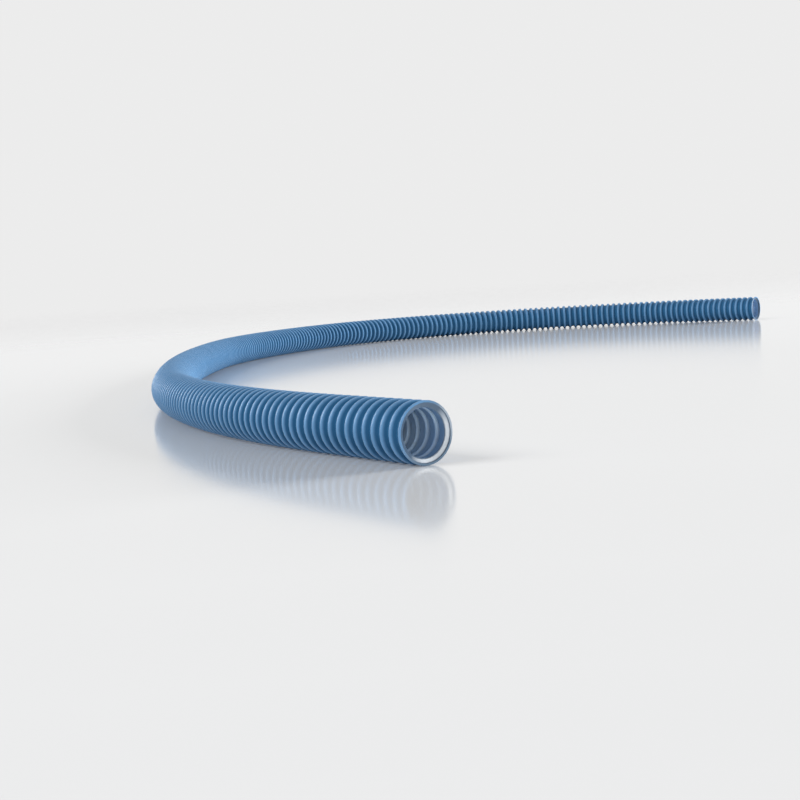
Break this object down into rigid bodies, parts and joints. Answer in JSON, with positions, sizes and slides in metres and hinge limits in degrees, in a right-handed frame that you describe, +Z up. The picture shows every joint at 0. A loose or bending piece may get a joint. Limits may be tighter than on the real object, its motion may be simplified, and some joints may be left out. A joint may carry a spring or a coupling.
{
  "type": "flexible conduit",
  "caption": "Corrugated flexible conduit, a thin rippled round tube with square-cut open ends, lying in a loose bend, for running cables.",
  "frame": {"origin": "middle of the footprint's box, on the floor", "axes": "+Z up from the floor; -Y out of the near cut end, along the tube's axis there; the tube bends away to +X"},
  "size_m": [0.5874, 0.5721, 0.016],
  "materials": {
    "blue_plastic": "satin"
  },
  "bodies": {
    "root": {"conduit": "blue_plastic"}
  },
  "joints": []
}
